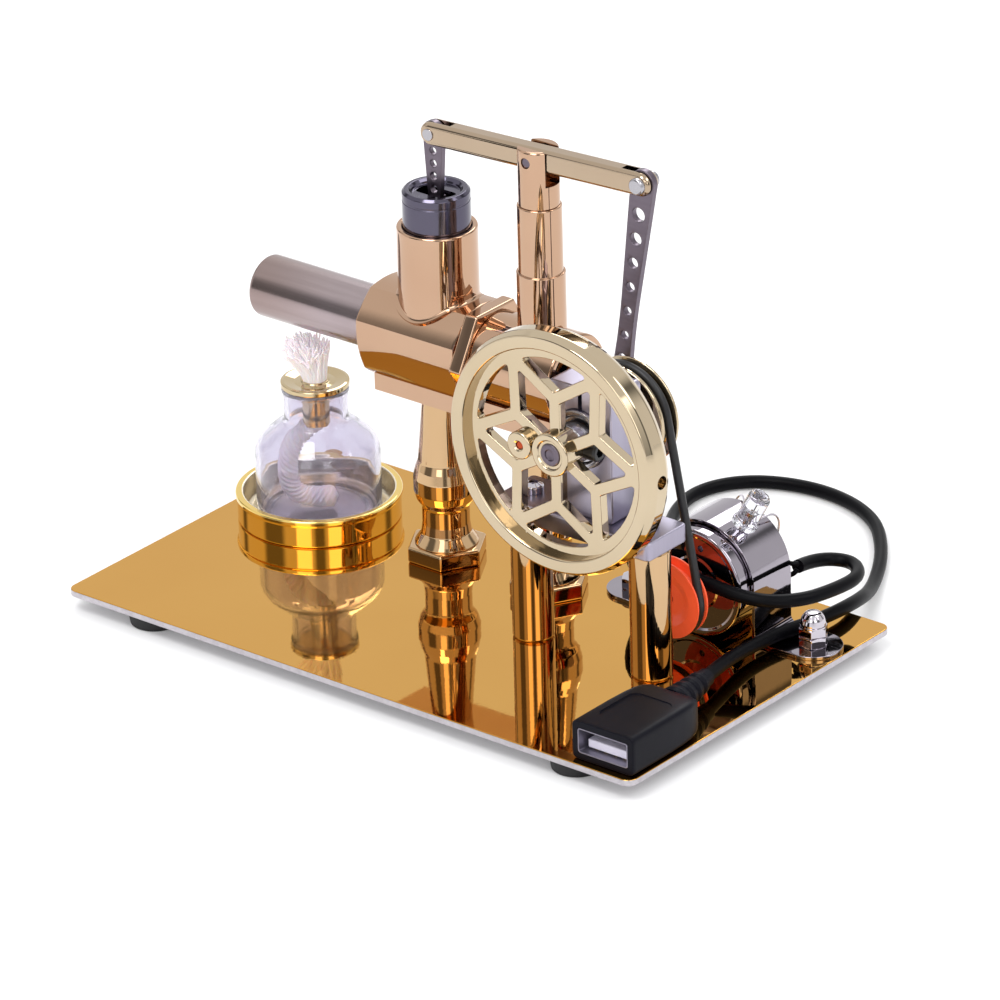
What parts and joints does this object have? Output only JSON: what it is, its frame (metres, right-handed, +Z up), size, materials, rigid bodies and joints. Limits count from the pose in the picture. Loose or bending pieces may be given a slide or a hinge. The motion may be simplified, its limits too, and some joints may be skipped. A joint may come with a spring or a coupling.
{
  "type": "stirling engine model",
  "caption": "Beam-type hot-air engine model on a mirror base plate with spirit lamp, flywheel, belt-driven generator motor, indicator LED and USB output lead.",
  "frame": {"origin": "centre of the base plate's outline, at the height of the feet's undersides", "axes": "+X along the base plate's long edge from the lamp to the motor, +Y to the back, +Z up"},
  "size_m": [0.155, 0.1424, 0.1099],
  "materials": {
    "gold_mirror": "mirror polished gold plating",
    "rose_gold": "polished rose-gold plating",
    "warm_gold": "polished warm gold plating",
    "champagne": "polished pale gold plating",
    "pale_brass": "polished pale brass",
    "steel": "brushed stainless steel",
    "dark_steel": "dark satin steel",
    "silver": "satin silver anodised",
    "chrome": "bright chrome",
    "graphite": "dark graphite, faint sheen",
    "rubber": "matt black rubber",
    "cable_black": "glossy black sheath",
    "plug_black": "satin black moulding",
    "wire_enamel": "thin insulated wires",
    "orange_plastic": "bright orange-red plastic",
    "white_plastic": "off-white plastic",
    "lens_clear": "clear epoxy",
    "glass": "clear glass",
    "cotton": "loose cotton fibre",
    "aluminium": "turned aluminium"
  },
  "bodies": {
    "engine": {"base_plate": "gold_mirror", "rubber_feet": "rubber", "base_screws": "chrome", "hot_cylinder": "steel", "cylinder_block": "rose_gold", "block_flange": "rose_gold", "cold_cylinder": "rose_gold", "rod_gland": "pale_brass", "engine_saddle": "rose_gold", "power_cylinder": "rose_gold", "column_left": "warm_gold", "column_right": "warm_gold", "beam_post": "rose_gold", "beam_fork": "rose_gold", "pivot_pin": "dark_steel", "bearing_block": "silver", "bearing_outer_rings": "steel", "bracket_bar": "silver", "bracket_post_left": "warm_gold", "bracket_post_right": "warm_gold", "bracket_screws": "chrome", "motor_can": "chrome", "motor_end_cap": "white_plastic", "motor_terminals": "pale_brass", "motor_clamp": "chrome", "clamp_bolts": "chrome", "clamp_nuts": "chrome", "acorn_nut": "chrome", "drive_belt": "rubber", "led_lens": "lens_clear", "led_leads": "chrome", "usb_cable": "cable_black", "motor_wires": "wire_enamel", "usb_socket_body": "plug_black", "usb_socket_shell": "chrome", "usb_socket_tongue": "plug_black", "usb_strain_relief": "plug_black"},
    "crank": {"front_flywheel": "champagne", "crankshaft": "dark_steel", "flywheel_pin": "pale_brass", "rear_wheel": "champagne", "crank_pin": "steel", "bearing_inner_rings": "steel"},
    "motor_rotor": {"motor_pulley": "orange_plastic", "motor_shaft": "steel"},
    "displacer_slider": {"displacer": "aluminium", "displacer_rod": "steel", "crosshead": "pale_brass"},
    "displacer_swing_link": {"displacer_link": "dark_steel"},
    "beam": {"rocker_beam": "champagne", "beam_end_pins": "dark_steel"},
    "rod": {"connecting_rod": "dark_steel", "rod_end_screw": "steel"},
    "short_link": {"piston_link": "dark_steel"},
    "piston": {"power_piston": "graphite", "piston_pin": "steel"},
    "lamp": {"lamp_tray": "gold_mirror", "lamp_bottle": "glass", "lamp_cap": "pale_brass", "lamp_wick": "cotton"}
  },
  "joints": [
    {"name": "crank_spin", "type": "hinge", "parent": "engine", "child": "crank", "pos_m": [0.0354, 0.0163, 0.0568], "axis": [0, 1, 0], "continuous": true},
    {"name": "motor_spin", "type": "hinge", "parent": "engine", "child": "motor_rotor", "pos_m": [0.0464, 0.0086, 0.0173], "axis": [0, 1, 0], "continuous": true},
    {"name": "beam_rock", "type": "hinge", "parent": "engine", "child": "beam", "pos_m": [0.0071, 0.0163, 0.1056], "axis": [0, 1, 0], "range_deg": [-16.5, 14]},
    {"name": "piston_slide", "type": "slide", "parent": "engine", "child": "piston", "axis": [0, 0, 1], "range_m": [-0.0083, 0.0071]},
    {"name": "piston_link_swing", "type": "hinge", "parent": "beam", "child": "short_link", "pos_m": [-0.02118, 0.0163, 0.10451], "axis": [0, 1, 0], "range_deg": [-14.5, 17]},
    {"name": "connecting_rod_swing", "type": "hinge", "parent": "beam", "child": "rod", "pos_m": [0.03538, 0.0163, 0.10669], "axis": [0, 1, 0], "range_deg": [-14.5, 17]},
    {"name": "displacer_slide", "type": "slide", "parent": "engine", "child": "displacer_slider", "axis": [1, 0, 0], "range_m": [0, 0.0152]},
    {"name": "displacer_link_swing", "type": "hinge", "parent": "displacer_slider", "child": "displacer_swing_link", "pos_m": [0.0058, 0.013, 0.0568], "axis": [0, 1, 0], "range_deg": [-20, 20]},
    {"name": "lamp_slide", "type": "slide", "parent": "engine", "child": "lamp", "axis": [0, -1, 0], "range_m": [0, 0.035]}
  ],
  "couplings": [
    {"joint": "motor_spin", "follows": "crank_spin", "ratio": 1.4151},
    {"joint": "piston_slide", "follows": "beam_rock", "m_per_rad": 0.0283},
    {"joint": "piston_link_swing", "follows": "beam_rock", "ratio": -1},
    {"joint": "connecting_rod_swing", "follows": "beam_rock", "ratio": -1}
  ]
}
